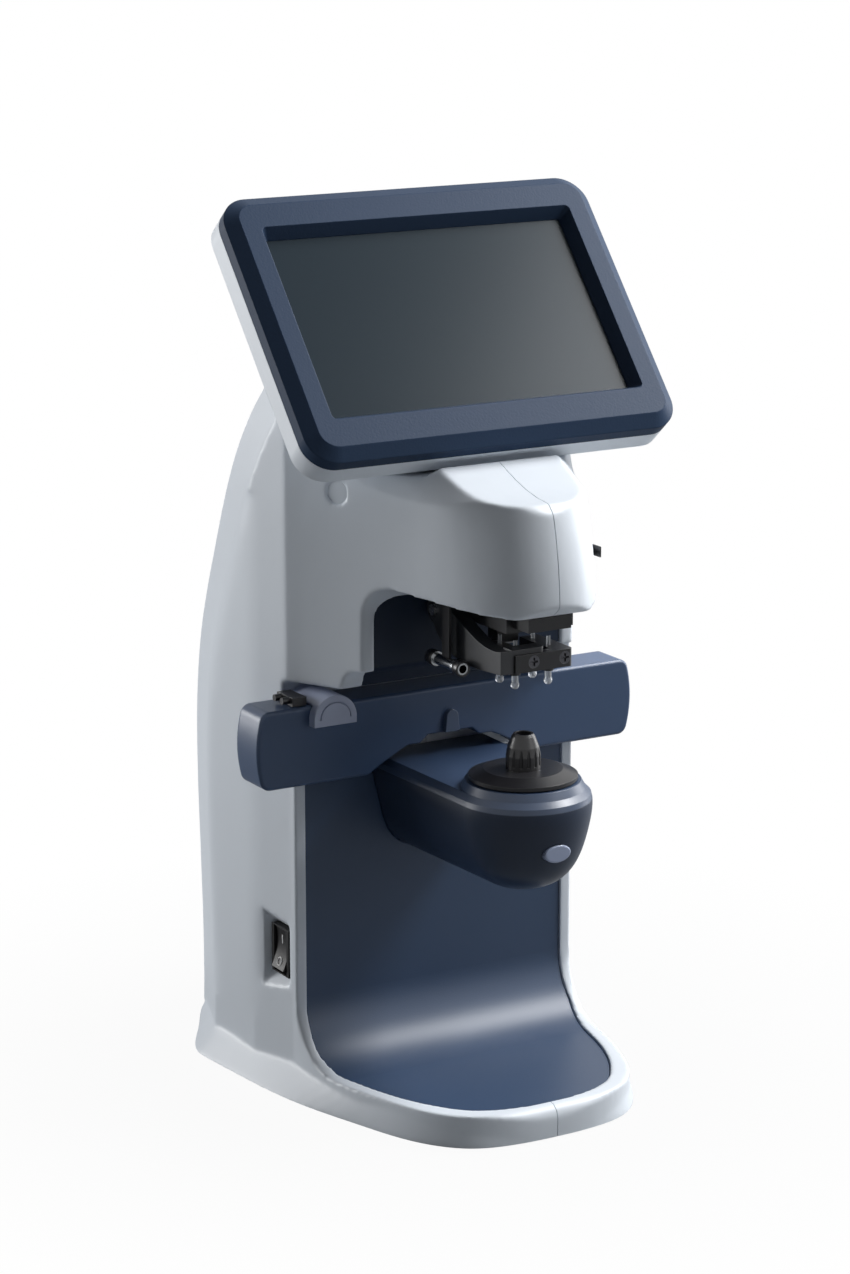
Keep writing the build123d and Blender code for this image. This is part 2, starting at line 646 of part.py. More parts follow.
def build_optics_housing():
    """The black housing under the head, with the light port and the holder's shaft bearings."""
    rear = THROAT_PANEL_Y - 0.1
    outline = side([(rear, 250), (rear, 227.5), (-61, 227.5), (-65, 231), (-76, 231), (-79, 230), (-106, 230),
                    (-106, 250)])
    housing = slab(outline, -HOUSING_LEFT, HOUSING_RIGHT)
    housing += block((-11, 11), (-118.5, -106), (232.5, 238.6))
    housing -= rod_z(LENS_RADIUS + FIT, 225, 260, 0, AXIS_Y)
    housing -= block((-CARRIAGE_HALF - GAP, CARRIAGE_HALF + GAP),
                     (CARRIAGE_Y - 4 - GAP, CARRIAGE_Y + 4 + GAP), (225, 260))
    return housing - rod_x(PIVOT_RADIUS + FIT, -20, 13, PIVOT_Y, PIVOT_Z)


def build_collimator_lens():
    """The lens in the light port that makes the measuring light parallel."""
    return rod_z(LENS_RADIUS, 234, 238, 0, AXIS_Y)


def build_head_frame():
    """The bent plate that carries the lamp and the optics housing out over the nosepiece."""
    upright = block((-18, 18), (-4.5, -0.5), (FRAME_TOP, HEAD_PLATE + 3))
    shelf = block((-18, 18), (-104, -0.5), (HEAD_PLATE, HEAD_PLATE + 3))
    shelf -= rod_z(LENS_RADIUS, HEAD_PLATE - 1, HEAD_PLATE + 4, 0, AXIS_Y)
    shelf -= block((-CARRIAGE_HALF - 1, CARRIAGE_HALF + 1), (CARRIAGE_Y - 5, CARRIAGE_Y + 5),
                   (HEAD_PLATE - 1, HEAD_PLATE + 4))
    return upright + shelf


def build_lamp():
    """The lamp block that shines down through the light port."""
    lamp = block((-10, 10), (AXIS_Y - 9, AXIS_Y + 9), (HEAD_PLATE + 3, HEAD_PLATE + 15))
    return lamp - rod_z(4, HEAD_PLATE + 2, HEAD_PLATE + 9, 0, AXIS_Y)


def build_marking_carriage():
    """The post that carries the marking pen down when the side lever is pressed."""
    post = block((-CARRIAGE_HALF, CARRIAGE_HALF), (CARRIAGE_Y - 4, CARRIAGE_Y + 4), (219, 262))
    return chamfer(post.edges().group_by(Axis.Z)[0], 1.2)


def build_marking_pen():
    """The felt tip under the marking carriage."""
    return rod_z(1.3, 216, 219, 0, CARRIAGE_Y)


def build_marking_lever():
    """The small black lever on the right side of the head, with its shaft through the cover."""
    shaft = rod_x(LEVER_SHAFT_RADIUS, 22, LEVER_X, LEVER_Y, LEVER_Z)
    knob = rod_x(3.6, LEVER_X, LEVER_X + 3.2, LEVER_Y, LEVER_Z)
    paddle = block((LEVER_X, LEVER_X + 3.2), (LEVER_Y - 10, LEVER_Y), (LEVER_Z - 2.4, LEVER_Z + 2.4))
    return shaft + knob + paddle


def build_marking_roller():
    """The inking roller: a bright sleeve between two black collars."""
    body = rod_y(2.5, -84, -68, ROLLER_X, ROLLER_Z)
    for y in (-90, -68):
        body += rod_y(3.3, y, y + 6, ROLLER_X, ROLLER_Z)
    return body


def build_roller_hanger():
    """The thin black blade that the roller hangs from."""
    y = -76
    blade = block((ROLLER_X - 0.6, ROLLER_X + 0.6), (y - 3, y + 3), (ROLLER_Z, THROAT_TOP - 2.0))
    return blade - rod_y(2.6, y - 5, y + 5, ROLLER_X, ROLLER_Z)


# Screen

def screen_plane(depth=0.0):
    """The screen's own plane: X to the right, Y up its face, Z towards the user, depth behind the face."""
    lean = radians(SCREEN_TILT)
    toward = Vector(0, -cos(lean), sin(lean))
    origin = Vector(0, SCREEN_Y, SCREEN_Z) - toward * depth
    return Plane(origin=origin, x_dir=(1, 0, 0), z_dir=toward)


def screen_slab(width, height, corner, depth_from, depth_to, shift=0.0):
    """A plate parallel to the screen's face, between two depths behind it."""
    outline = Pos(0, shift) * RectangleRounded(width, height, corner)
    return extrude(screen_plane(depth_to) * outline, depth_to - depth_from)


def build_bezel():
    """The navy front frame with a bevelled edge and a window that slopes in to the glass."""
    frame = screen_slab(SCREEN_WIDTH, SCREEN_HEIGHT, SCREEN_CORNER, BEZEL_CHAMFER_DEPTH, BEZEL_DEPTH)
    flat_width = SCREEN_WIDTH - 2 * BEZEL_CHAMFER_WIDTH
    flat_height = SCREEN_HEIGHT - 2 * BEZEL_CHAMFER_WIDTH
    flat = screen_plane() * RectangleRounded(flat_width, flat_height, SCREEN_CORNER - BEZEL_CHAMFER_WIDTH)
    full = screen_plane(BEZEL_CHAMFER_DEPTH) * RectangleRounded(SCREEN_WIDTH, SCREEN_HEIGHT, SCREEN_CORNER)
    frame += loft([full, flat])
    slope = 2 * OPENING_SLOPE
    wide = screen_plane() * Pos(0, OPENING_SHIFT) * RectangleRounded(OPENING_WIDTH, OPENING_HEIGHT, 2.5)
    narrow = screen_plane(GLASS_DEPTH) * Pos(0, OPENING_SHIFT) * RectangleRounded(
        OPENING_WIDTH - slope, OPENING_HEIGHT - slope, 1.0)
    frame -= loft([wide, narrow])
    pocket = screen_slab(OPENING_WIDTH + 4, OPENING_HEIGHT + 4, 1.5, GLASS_DEPTH, BEZEL_DEPTH + 1,
                         OPENING_SHIFT)
    return frame - pocket


def build_glass():
    """The touch glass, pressed against the back of the window's lip."""
    return screen_slab(OPENING_WIDTH + 3, OPENING_HEIGHT + 3, 1.0, GLASS_DEPTH, GLASS_DEPTH + GLASS_THICK,
                       OPENING_SHIFT)


def build_lcd():
    """The display module behind the glass."""
    start = GLASS_DEPTH + GLASS_THICK
    return screen_slab(OPENING_WIDTH + 2, OPENING_HEIGHT + 2, 1.0, start, start + 6, OPENING_SHIFT)


def build_display_board():
    """The display's circuit board with its chips and cable socket."""
    start = GLASS_DEPTH + GLASS_THICK + 6
    board = screen_slab(120, 80, 1.0, start + 3, start + 4.6)
    board += screen_slab(14, 14, 0.5, start + 4.6, start + 6.4, 10)
    board += screen_slab(24, 6, 0.5, start + 4.6, start + 9, -30)
    for x in (-55, 55):
        for y in (-35, 35):
            board += extrude(screen_plane(start + 3) * Pos(x, y) * Circle(3), 3)
    return board


def hinge_origin():
    """Where the hinge axis crosses the middle plane."""
    lean = radians(SCREEN_TILT)
    y = SCREEN_Y + HINGE_V * sin(lean) + HINGE_W * cos(lean)
    z = SCREEN_Z + HINGE_V * cos(lean) - HINGE_W * sin(lean)
    return y, z


def build_back_cover():
    """The light back cover: a straight rim, then a shallow dome, hollow, with slots for the hinge lugs."""
    cover = screen_slab(SCREEN_WIDTH, SCREEN_HEIGHT, SCREEN_CORNER, BEZEL_DEPTH, BACK_RIM_DEPTH)
    rim = screen_plane(BACK_RIM_DEPTH) * RectangleRounded(SCREEN_WIDTH, SCREEN_HEIGHT, SCREEN_CORNER)
    middle = screen_plane(BACK_RIM_DEPTH + 7.5) * RectangleRounded(
        SCREEN_WIDTH - BACK_INSET, SCREEN_HEIGHT - BACK_INSET, SCREEN_CORNER)
    flat = screen_plane(SCREEN_DEPTH) * RectangleRounded(
        SCREEN_WIDTH - 2 * BACK_INSET, SCREEN_HEIGHT - 2 * BACK_INSET, SCREEN_CORNER)
    cover += loft([rim, middle], ruled=True) + loft([middle, flat], ruled=True)
    cover -= screen_slab(SCREEN_WIDTH - 26, SCREEN_HEIGHT - 30, 2, BEZEL_DEPTH - 1, SCREEN_DEPTH - 3, 2.5)
    y, z = hinge_origin()
    for x in (-HINGE_X, HINGE_X):
        width = LUG_THICK + 1.0
        slot = screen_plane(40) * Pos(x, -56.5) * Rectangle(width, 18.8)
        cover -= extrude(slot, 40 - BEZEL_DEPTH - 0.6)
        notch = screen_plane(45) * Pos(x, -64) * Rectangle(width, 34)
        cover -= extrude(notch, 45 - BACK_RIM_DEPTH)
        cover -= rod_x(HINGE_PIN_RADIUS + FIT, x - 7.5, x + 7.5, y, z)
    return cover


def build_hinge_pins():
    """Two steel pins that hold the screen to its lugs."""
    y, z = hinge_origin()
    return [rod_x(HINGE_PIN_RADIUS, x - 7, x + 7, y, z) for x in (-HINGE_X, HINGE_X)]


def build_hinge_lugs():
    """Two goose-necked lugs that rise from the head into the screen's back cover."""
    y, z = hinge_origin()
    outline = side([(y, z - 3), (y + 7, z - 3), (y + 7, LUG_BASE), (y + 13, LUG_BASE), (y + 13, z + 1.5),
                    (y + 11.5, z + 3), (y, z + 3)])
    lugs = []
    for x in (-HINGE_X, HINGE_X):
        half = LUG_THICK / 2
        lug = slab(outline, x - half, x + half) + rod_x(LUG_RADIUS, x - half, x + half, y, z)
        lugs.append(lug - rod_x(HINGE_PIN_RADIUS + FIT, x - 10, x + 10, y, z))
    return lugs


def lug_pockets():
    """The pockets in the head that the lugs stand in."""
    y, z = hinge_origin()
    half = LUG_THICK / 2 + 0.1
    spans = [(x - half, x + half) for x in (-HINGE_X, HINGE_X)]
    return [block(span, (y + 6.9, y + 13.1), (LUG_BASE, z)) for span in spans]


# Power switch

def switch_recess():
    """The bevelled recess in the left cover round the power switch."""
    depth = 5.0
    x = SWITCH_WALL_X
    outer = Plane(origin=(x - 3, SWITCH_Y + 0.8, SWITCH_Z), x_dir=(0, -1, 0), z_dir=(-1, 0, 0))
    inner = Plane(origin=(x + depth, SWITCH_Y, SWITCH_Z), x_dir=(0, -1, 0), z_dir=(-1, 0, 0))
    return loft([outer * Rectangle(21, 40), inner * Rectangle(16.4, 23.4)])


def build_switch_housing():
    """The black switch housing at the bottom of the recess, with its square well."""
    x = SWITCH_WALL_X
    housing = block((x + 5, x + 14.5), (SWITCH_Y - 8, SWITCH_Y + 8), (SWITCH_Z - 11.5, SWITCH_Z + 11.5))
    housing += block((x + 1.5, x + 5), (SWITCH_Y - 8, SWITCH_Y + 8), (SWITCH_Z - 11.5, SWITCH_Z + 11.5))
    well = block((x - 5, x + 10.8), (SWITCH_Y - 6, SWITCH_Y + 6), (SWITCH_Z - 11, SWITCH_Z + 11))
    return housing - well


def build_rocker():
    """The rocker of the power switch, with its upper half pressed in."""
    half = ROCKER_HEIGHT / 2
    back = ROCKER_DEPTH
    face = ROCKER_FACE
    outline = make_face([
        Polyline((face, half - 1), (0, half), (back, half - 6), (back, 6 - half), (0, -half),
                 (face, 1 - half)),
        ThreePointArc((face, 1 - half), (face + 1.6, 0), (face, half - 1))])
    plane = Plane(origin=(0, ROCKER_WIDTH / 2, 0), x_dir=(1, 0, 0), z_dir=(0, -1, 0))
    rocker = extrude(plane * outline, ROCKER_WIDTH)
    return Pos(ROCKER_X, SWITCH_Y, SWITCH_Z) * Rot(0, ROCKER_ANGLE, 0) * rocker


def build_power_inlet():
    """The mains inlet at the back: a square socket with three pins."""
    body = block((INLET_X - 15, INLET_X + 15), (INLET_FACE - 20, INLET_FACE), (INLET_Z - 12, INLET_Z + 12))
    body -= block((INLET_X - 12, INLET_X + 12), (INLET_FACE - 16, INLET_FACE + 1), (INLET_Z - 9, INLET_Z + 9))
    for x, z in ((-7, -3.5), (7, -3.5), (0, 1)):
        body += rod_y(1.2, INLET_FACE - 16.5, INLET_FACE - 4, INLET_X + x, INLET_Z + z)
    return body


# Frame, electronics and base

def build_column_frame():
    """The cast frame inside the column: a plate with side webs and bosses for the rod bushes."""
    frame = block((-44, 44), (-6, -2), (PLATE_TOP, FRAME_TOP))
    for x in (-44, 41):
        frame += block((x, x + 3), (-6, BOARD_Y), (PLATE_TOP, FRAME_TOP))
    for x in (-ROD_X, ROD_X):
        boss = rod_y(BUSH_RADIUS + 2.5, -6, BUSH_LENGTH - 4, x, ROD_Z)
        frame += boss & block((-44, 44), (-6, 60), (150, FRAME_TOP))
        frame -= rod_y(BUSH_RADIUS, -4, BUSH_LENGTH, x, ROD_Z)
        frame -= rod_y(ROD_RADIUS + 0.6, -8, 0, x, ROD_Z)
    return frame


def build_main_board():
    """The main circuit board on the frame's webs, with its processor, sockets and capacitors."""
    board = block((-46, 46), (BOARD_Y, BOARD_Y + 1.6), (70, 165))
    board += block((-12, 12), (BOARD_Y + 1.6, BOARD_Y + 4.2), (110, 134))
    for z in (78, 92):
        board += block((22, 40), (BOARD_Y + 1.6, BOARD_Y + 9), (z, z + 8))
    for x in (-36, -24):
        board += rod_y(4, BOARD_Y + 1.6, BOARD_Y + 12, x, 84)
    return board


def build_power_supply():
    """The boxed power supply on the base plate."""
    return block((-36, 36), (4, 50), (PLATE_TOP, PLATE_TOP + 38))


def base_outline():
    """Plan of the base plate, inside the skirt."""
    half = [(0, -119), (20, -117), (35, -111), (47, -98), (61, -70), (70, -36), (76, 10), (77, 42), (64, 70),
            (44, 98), (0, 110)]
    return make_face(closed_curve(half))


def build_base_plate():
    """The steel base plate under the covers, a little smaller than its place in them."""
    outline = scale(base_outline(), by=(0.996, 0.996, 1))
    return extrude(Pos(0, 0, PLATE_TOP - BASE_THICK) * outline, BASE_THICK)


def foot_places():
    """Where the four rubber feet are."""
    return [(-40, -88), (40, -88), (-58, 60), (58, 60)]


def build_rubber_feet():
    """Four round rubber feet under the base plate."""
    return [rod_z(FOOT_PAD_RADIUS, 0, PLATE_TOP - BASE_THICK, x, y) for x, y in foot_places()]


def build_throat_panel():
    """The dark panel at the back of the throat, behind the lens holder."""
    front = throat_step(PANEL_DEPTH) + [(THROAT_PANEL_Y, THROAT_PANEL_TOP)]
    back = [(y + THROAT_PANEL_THICK, z) for y, z in reversed(front)]
    return slab(side(front + back), -THROAT_HALF, THROAT_HALF) & throat_arch(0)


def throat_arch(extra):
    """The arched outline of the throat panel, as a block along the depth."""
    half = THROAT_HALF + extra
    arch = block((-half, half), (-70, -30), (RECESS_TOP + GAP - extra, THROAT_PANEL_TOP + extra))
    corners = [edge for edge in arch.edges().filter_by(Axis.Y) if edge.center().Z > THROAT_PANEL_TOP - 1]
    return fillet(corners, 11)


def throat_pocket():
    """The recess in the covers in front of and round the throat panel."""
    back = [(y + THROAT_PANEL_THICK + 0.1, z) for y, z in throat_step(PANEL_DEPTH)]
    back.append((THROAT_PANEL_Y + THROAT_PANEL_THICK + 0.1, THROAT_TOP))
    outline = side(back + [(-70, THROAT_TOP), (-70, RECESS_TOP - 1), (back[0][0], RECESS_TOP - 1)])
    return slab(outline, -THROAT_HALF - 0.3, THROAT_HALF + 0.3) & throat_arch(0.3)


def plug_plane(side_sign, depth):
    """The plane of a screw plug in the head's slanting side wall, some depth under its surface."""
    normal = Vector(side_sign * 0.879, -0.477, 0)
    origin = Vector(side_sign * PLUG_X, PLUG_Y, PLUG_Z) - normal * depth
    return Plane(origin=origin, z_dir=normal)


def build_cover_plugs():
    """The round plugs over the covers' upper fixing screws, one on each side."""
    depth = PLUG_SINK + PLUG_THICK
    return [extrude(plug_plane(sign, depth) * Circle(PLUG_RADIUS), PLUG_THICK) for sign in (-1, 1)]


def cover_cuts():
    """Everything that is cut out of both covers."""
    cuts = [body_cavity(), panel_recess(), throat_pocket()]
    cuts.append(block((-34, 34), (-24, -13.7), (ARM_BOTTOM - 2, ARM_TOP + 1)))
    cuts.append(block((-HOUSING_LEFT - 0.2, HOUSING_RIGHT + 0.2), (-106.2, THROAT_PANEL_Y + 0.1),
                      (229, 250.2)))
    cuts += lug_pockets()
    cuts += [rod_y(ROD_RADIUS + 0.6, -14, 0, x, ROD_Z) for x in (-ROD_X, ROD_X)]
    depth = PLUG_SINK + PLUG_THICK
    cuts += [extrude(plug_plane(sign, depth) * Circle(PLUG_RADIUS + 0.1), depth + 9) for sign in (-1, 1)]
    cuts.append(extrude(Pos(0, 0, -1) * base_outline(), PLATE_TOP + 1))
    return cuts


def build_covers():
    """The left and right body covers, mirror images apart from the switch, the lever and the inlet."""
    form = body_form()
    left = form
    right = mirror(form, about=Plane.YZ)
    for cut in cover_cuts():
        left -= cut
        right -= cut
    left -= switch_recess()
    x = SWITCH_WALL_X
    left -= block((x + 1.3, x + 16), (SWITCH_Y - 8.2, SWITCH_Y + 8.2), (SWITCH_Z - 11.7, SWITCH_Z + 11.7))
    left -= block((INLET_X - 15.1, INLET_X + 15.1), (70, 130), (INLET_Z - 12.1, INLET_Z + 12.1))
    right -= rod_x(LEVER_SHAFT_RADIUS + FIT, 20, 60, LEVER_Y, LEVER_Z)
    return left, right


def main():
    """Builds every piece and writes one file for each node."""
    left, right = build_covers()
    arm_hole = loft([arm_outline(nose + GAP, root + GAP, height) for height, nose, root in ARM_SECTIONS])
    nodes = {
        "left_cover": left,
        "right_cover": right,
        "front_panel": build_panel() - arm_hole,
        "throat_panel": build_throat_panel(),
        "cover_plugs": build_cover_plugs(),
        "base_plate": build_base_plate(),
        "rubber_feet": build_rubber_feet(),
        "column_frame": build_column_frame(),
        "head_frame": build_head_frame(),
        "main_board": build_main_board(),
        "power_supply": build_power_supply(),
        "power_inlet": build_power_inlet(),
        "switch_housing": build_switch_housing(),
        "power_rocker": build_rocker(),
        "arm_upper_cover": build_arm_upper(),
        "arm_lower_housing": build_arm_lower(),
        "protective_glass": build_protective_glass(),
        "measuring_lens": build_measuring_lens(),
        "sensor_board": build_sensor_board(),
        "nosepiece_disc": build_disc(),
        "nosepiece": build_nosepiece(),
        "read_button": build_read_button(),
        "table_bar": build_table_bar(),
        "table_peg": build_table_peg(),
        "table_rods": build_table_rods(),
        "rod_bushes": build_rod_bushes(),
        "bridge_slider": build_slider(),
        "slider_rollers": build_slider_rollers(),
        "holder_arm": build_holder_arm(),
        "holder_frame": build_holder_frame(),
        "holder_screws": build_holder_screws(),
        "holder_shaft": build_holder_shaft(),
        "optics_housing": build_optics_housing(),
        "collimator_lens": build_collimator_lens(),
        "lamp": build_lamp(),
        "marking_carriage": build_marking_carriage(),
        "marking_pen": build_marking_pen(),
        "marking_lever": build_marking_lever(),
        "marking_roller": build_marking_roller(),
        "roller_hanger": build_roller_hanger(),
        "screen_bezel": build_bezel(),
        "touch_glass": build_glass(),
        "display_module": build_lcd(),
        "display_board": build_display_board(),
        "screen_back_cover": build_back_cover(),
        "hinge_pins": build_hinge_pins(),
        "hinge_lugs": build_hinge_lugs(),
    }
    for number, (x, y) in enumerate(pin_places(), start=1):
        nodes[f"holder_pin_{number}"] = build_pin(x, y)
    os.makedirs("parts", exist_ok=True)
    for name, solid in nodes.items():
        shape = Compound(children=solid) if isinstance(solid, list) else solid
        export_step(shape, f"parts/{name}.step")


main()
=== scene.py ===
from math import pi, radians

import bpy
from mathutils import Euler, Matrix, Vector


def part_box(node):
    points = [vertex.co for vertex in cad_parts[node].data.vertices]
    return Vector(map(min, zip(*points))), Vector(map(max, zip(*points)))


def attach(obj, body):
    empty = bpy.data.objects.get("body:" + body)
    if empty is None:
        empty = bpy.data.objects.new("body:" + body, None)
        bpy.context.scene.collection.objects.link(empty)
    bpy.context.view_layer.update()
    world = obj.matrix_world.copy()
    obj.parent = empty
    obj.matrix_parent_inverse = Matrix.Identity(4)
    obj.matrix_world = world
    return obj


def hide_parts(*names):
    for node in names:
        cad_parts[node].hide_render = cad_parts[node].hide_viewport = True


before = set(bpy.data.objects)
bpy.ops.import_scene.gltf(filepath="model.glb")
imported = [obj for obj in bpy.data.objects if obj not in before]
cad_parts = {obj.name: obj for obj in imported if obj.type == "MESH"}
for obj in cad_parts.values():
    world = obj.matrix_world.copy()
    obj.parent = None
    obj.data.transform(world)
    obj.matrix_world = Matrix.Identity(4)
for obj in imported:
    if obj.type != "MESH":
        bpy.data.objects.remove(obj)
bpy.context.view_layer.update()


# Camera.
# A long lens looks down at the instrument from its front left, as in the photograph. The
# picture shows each colour as it is lit.
CAMERA_PLACE = (-0.7992, -1.3642, 0.597)
LOOK_DOWN_DEGREES = 13.947
TURN_DEGREES = -30.577
LENS_MM = 98.9
SENSOR_MM = 36.0

camera_data = bpy.data.cameras.new("camera")
camera_data.sensor_width = SENSOR_MM
camera_data.lens = LENS_MM
camera = bpy.data.objects.new("camera", camera_data)
camera.location = CAMERA_PLACE
camera.rotation_euler = Euler((radians(90 - LOOK_DOWN_DEGREES), 0, radians(TURN_DEGREES)))
bpy.context.collection.objects.link(camera)
bpy.context.scene.camera = camera
bpy.context.scene.view_settings.view_transform = "Standard"


# Room.
# Plain white surroundings, as in the photograph. The camera sees them at full white, and so do
# gloss and clear plastic, but they add next to no light to matt surfaces.
ROOM_WHITE = (1, 1, 1, 1)
SHADE_COLOUR = (0.80, 0.86, 1.0, 1)
SHADE_LIGHT = 0.015

world = bpy.data.worlds.new("studio")
world.use_nodes = True
bpy.context.scene.world = world
room_nodes = world.node_tree.nodes
room_links = world.node_tree.links
dark_room = room_nodes["Background"]
dark_room.inputs["Color"].default_value = SHADE_COLOUR
dark_room.inputs["Strength"].default_value = SHADE_LIGHT
white_room = room_nodes.new("ShaderNodeBackground")
white_room.inputs["Color"].default_value = ROOM_WHITE
white_room.inputs["Strength"].default_value = 1.0
room_ray = room_nodes.new("ShaderNodeLightPath")
room_seen = room_nodes.new("ShaderNodeMath")
room_seen.operation = "MAXIMUM"
room_links.new(room_ray.outputs["Is Camera Ray"], room_seen.inputs[0])
room_links.new(room_ray.outputs["Is Transmission Ray"], room_seen.inputs[1])
room_shiny = room_nodes.new("ShaderNodeMath")
room_shiny.operation = "MAXIMUM"
room_links.new(room_seen.outputs["Value"], room_shiny.inputs[0])
room_links.new(room_ray.outputs["Is Glossy Ray"], room_shiny.inputs[1])
room_mix = room_nodes.new("ShaderNodeMixShader")
room_links.new(room_shiny.outputs["Value"], room_mix.inputs["Fac"])
room_links.new(dark_room.outputs["Background"], room_mix.inputs[1])
room_links.new(white_room.outputs["Background"], room_mix.inputs[2])
room_links.new(room_mix.outputs["Shader"], room_nodes["World Output"].inputs["Surface"])


# Floor.
# A matt grey sheet, which throws little light back up at the instrument. To the camera it glows
# white, a little less so round the foot, where the instrument's shadow shows on it.
FLOOR_SIZE = 6
FLOOR_GREY = (0.26, 0.27, 0.28, 1)
FLOOR_ROUGHNESS = 0.9
SHADOW_INNER = 0.12
SHADOW_OUTER = 0.34
GLOW_AT_FOOT = 0.95

bpy.ops.object.select_all(action="DESELECT")
bpy.ops.mesh.primitive_plane_add(size=FLOOR_SIZE, location=(0, 0, 0))
floor = bpy.context.active_object
floor.name = "floor"
floor_paint = bpy.data.materials.new("floor_white")
floor_paint.use_nodes = True
floor_nodes = floor_paint.node_tree.nodes
floor_links = floor_paint.node_tree.links
floor_matt = floor_nodes["Principled BSDF"]
floor_matt.inputs["Base Color"].default_value = FLOOR_GREY
floor_matt.inputs["Roughness"].default_value = FLOOR_ROUGHNESS
floor_glow = floor_nodes.new("ShaderNodeEmission")
floor_glow.inputs["Color"].default_value = ROOM_WHITE
floor_place = floor_nodes.new("ShaderNodeTexCoord")
floor_far = floor_nodes.new("ShaderNodeVectorMath")
floor_far.operation = "LENGTH"
floor_links.new(floor_place.outputs["Object"], floor_far.inputs[0])
floor_fade = floor_nodes.new("ShaderNodeMapRange")
floor_fade.inputs["From Min"].default_value = SHADOW_INNER
floor_fade.inputs["From Max"].default_value = SHADOW_OUTER
floor_fade.inputs["To Min"].default_value = GLOW_AT_FOOT
floor_links.new(floor_far.outputs["Value"], floor_fade.inputs["Value"])
floor_ray = floor_nodes.new("ShaderNodeLightPath")
floor_share = floor_nodes.new("ShaderNodeMath")
floor_share.operation = "MULTIPLY"
floor_links.new(floor_ray.outputs["Is Camera Ray"], floor_share.inputs[0])
floor_links.new(floor_fade.outputs["Result"], floor_share.inputs[1])
floor_mix = floor_nodes.new("ShaderNodeMixShader")
floor_links.new(floor_share.outputs["Value"], floor_mix.inputs["Fac"])
floor_links.new(floor_matt.outputs["BSDF"], floor_mix.inputs[1])
floor_links.new(floor_glow.outputs["Emission"], floor_mix.inputs[2])
floor_links.new(floor_mix.outputs["Shader"], floor_nodes["Material Output"].inputs["Surface"])
floor.data.materials.append(floor_paint)


# Soft boxes.
# Four rectangular lamps stand round the instrument. The strongest hangs over its right side, and
# a wide one behind it on the left lights the side wall.
MIDDLE = (0, 0, 0.2)
LOW_MIDDLE = (0, 0, 0.15)


def soft_box(name, place, aim, width, height, power):
    """A rectangular soft box at a place, aimed at a point."""
    data = bpy.data.lights.new(name, "AREA")
    data.shape = "RECTANGLE"
    data.size = width
    data.size_y = height
    data.energy = power
    box = bpy.data.objects.new(name, data)
    box.location = place
    box.rotation_euler = (Vector(aim) - Vector(place)).to_track_quat("-Z", "Y").to_euler()
    bpy.context.collection.objects.link(box)


soft_box("top_right_box", place=(1.08, -0.30, 1.38), aim=MIDDLE, width=0.9, height=0.5, power=40)
soft_box("right_box", place=(1.6, 0.05, 0.5), aim=MIDDLE, width=0.8, height=1.2, power=13)
soft_box("right_front_box", place=(1.0, -1.4, 0.8), aim=MIDDLE, width=0.8, height=1.0, power=3.2)
soft_box("rear_left_box", place=(-1.5, 1.6, 0.5), aim=LOW_MIDDLE, width=1.2, height=0.9, power=33)


# Body covers.
# Two mouldings of off-white ABS meet on the middle plane and leave a fine joint line there. The
# mould rounds their edges softly, and its spark-eroded walls leave a fine texture on the skin.
CLOUD_SCALE = 14.0
TINT_SPREAD = 0.03
GLOSS_SPREAD = 0.05
GRAIN_DEPTH = 0.0002
ROUNDING_SAMPLES = 8


def plastic(name, colour, roughness, grain=1800.0, relief=0.05, edge=0.0, shine=0.5):
    """Moulded plastic: a fine grain, faint clouding, uneven gloss and edges of a given radius."""
    material = bpy.data.materials.new(name)
    material.use_nodes = True
    nodes = material.node_tree.nodes
    links = material.node_tree.links
    shader = nodes["Principled BSDF"]
    shader.inputs["Specular IOR Level"].default_value = shine
    place = nodes.new("ShaderNodeTexCoord")
    fine = nodes.new("ShaderNodeTexNoise")
    fine.inputs["Scale"].default_value = grain
    fine.inputs["Detail"].default_value = 3.0
    links.new(place.outputs["Object"], fine.inputs["Vector"])
    cloud = nodes.new("ShaderNodeTexNoise")
    cloud.inputs["Scale"].default_value = CLOUD_SCALE
    cloud.inputs["Detail"].default_value = 4.0
    links.new(place.outputs["Object"], cloud.inputs["Vector"])
    tint = nodes.new("ShaderNodeMix")
    tint.data_type = "RGBA"
    tint.inputs["A"].default_value = (*[part * (1 - TINT_SPREAD) for part in colour], 1)
    tint.inputs["B"].default_value = (*[min(1.0, part * (1 + TINT_SPREAD)) for part in colour], 1)
    links.new(cloud.outputs["Fac"], tint.inputs["Factor"])
    links.new(tint.outputs["Result"], shader.inputs["Base Color"])
    gloss = nodes.new("ShaderNodeMapRange")
    gloss.inputs["To Min"].default_value = roughness - GLOSS_SPREAD
    gloss.inputs["To Max"].default_value = roughness + GLOSS_SPREAD
    links.new(fine.outputs["Fac"], gloss.inputs["Value"])
    links.new(gloss.outputs["Result"], shader.inputs["Roughness"])
    bump = nodes.new("ShaderNodeBump")
    bump.inputs["Strength"].default_value = relief
    bump.inputs["Distance"].default_value = GRAIN_DEPTH
    links.new(fine.outputs["Fac"], bump.inputs["Height"])
    links.new(bump.outputs["Normal"], shader.inputs["Normal"])
    if edge > 0:
        rounding = nodes.new("ShaderNodeBevel")
        rounding.samples = ROUNDING_SAMPLES
        rounding.inputs["Radius"].default_value = edge
        links.new(rounding.outputs["Normal"], bump.inputs["Normal"])
    return material


def apply_modifier(piece, kind, **settings):
    """Adds one modifier with these settings to a piece and applies it."""
    modifier = piece.modifiers.new("shape", kind)
    for setting, value in settings.items():
        setattr(modifier, setting, value)
    bpy.ops.object.modifier_apply(modifier=modifier.name)


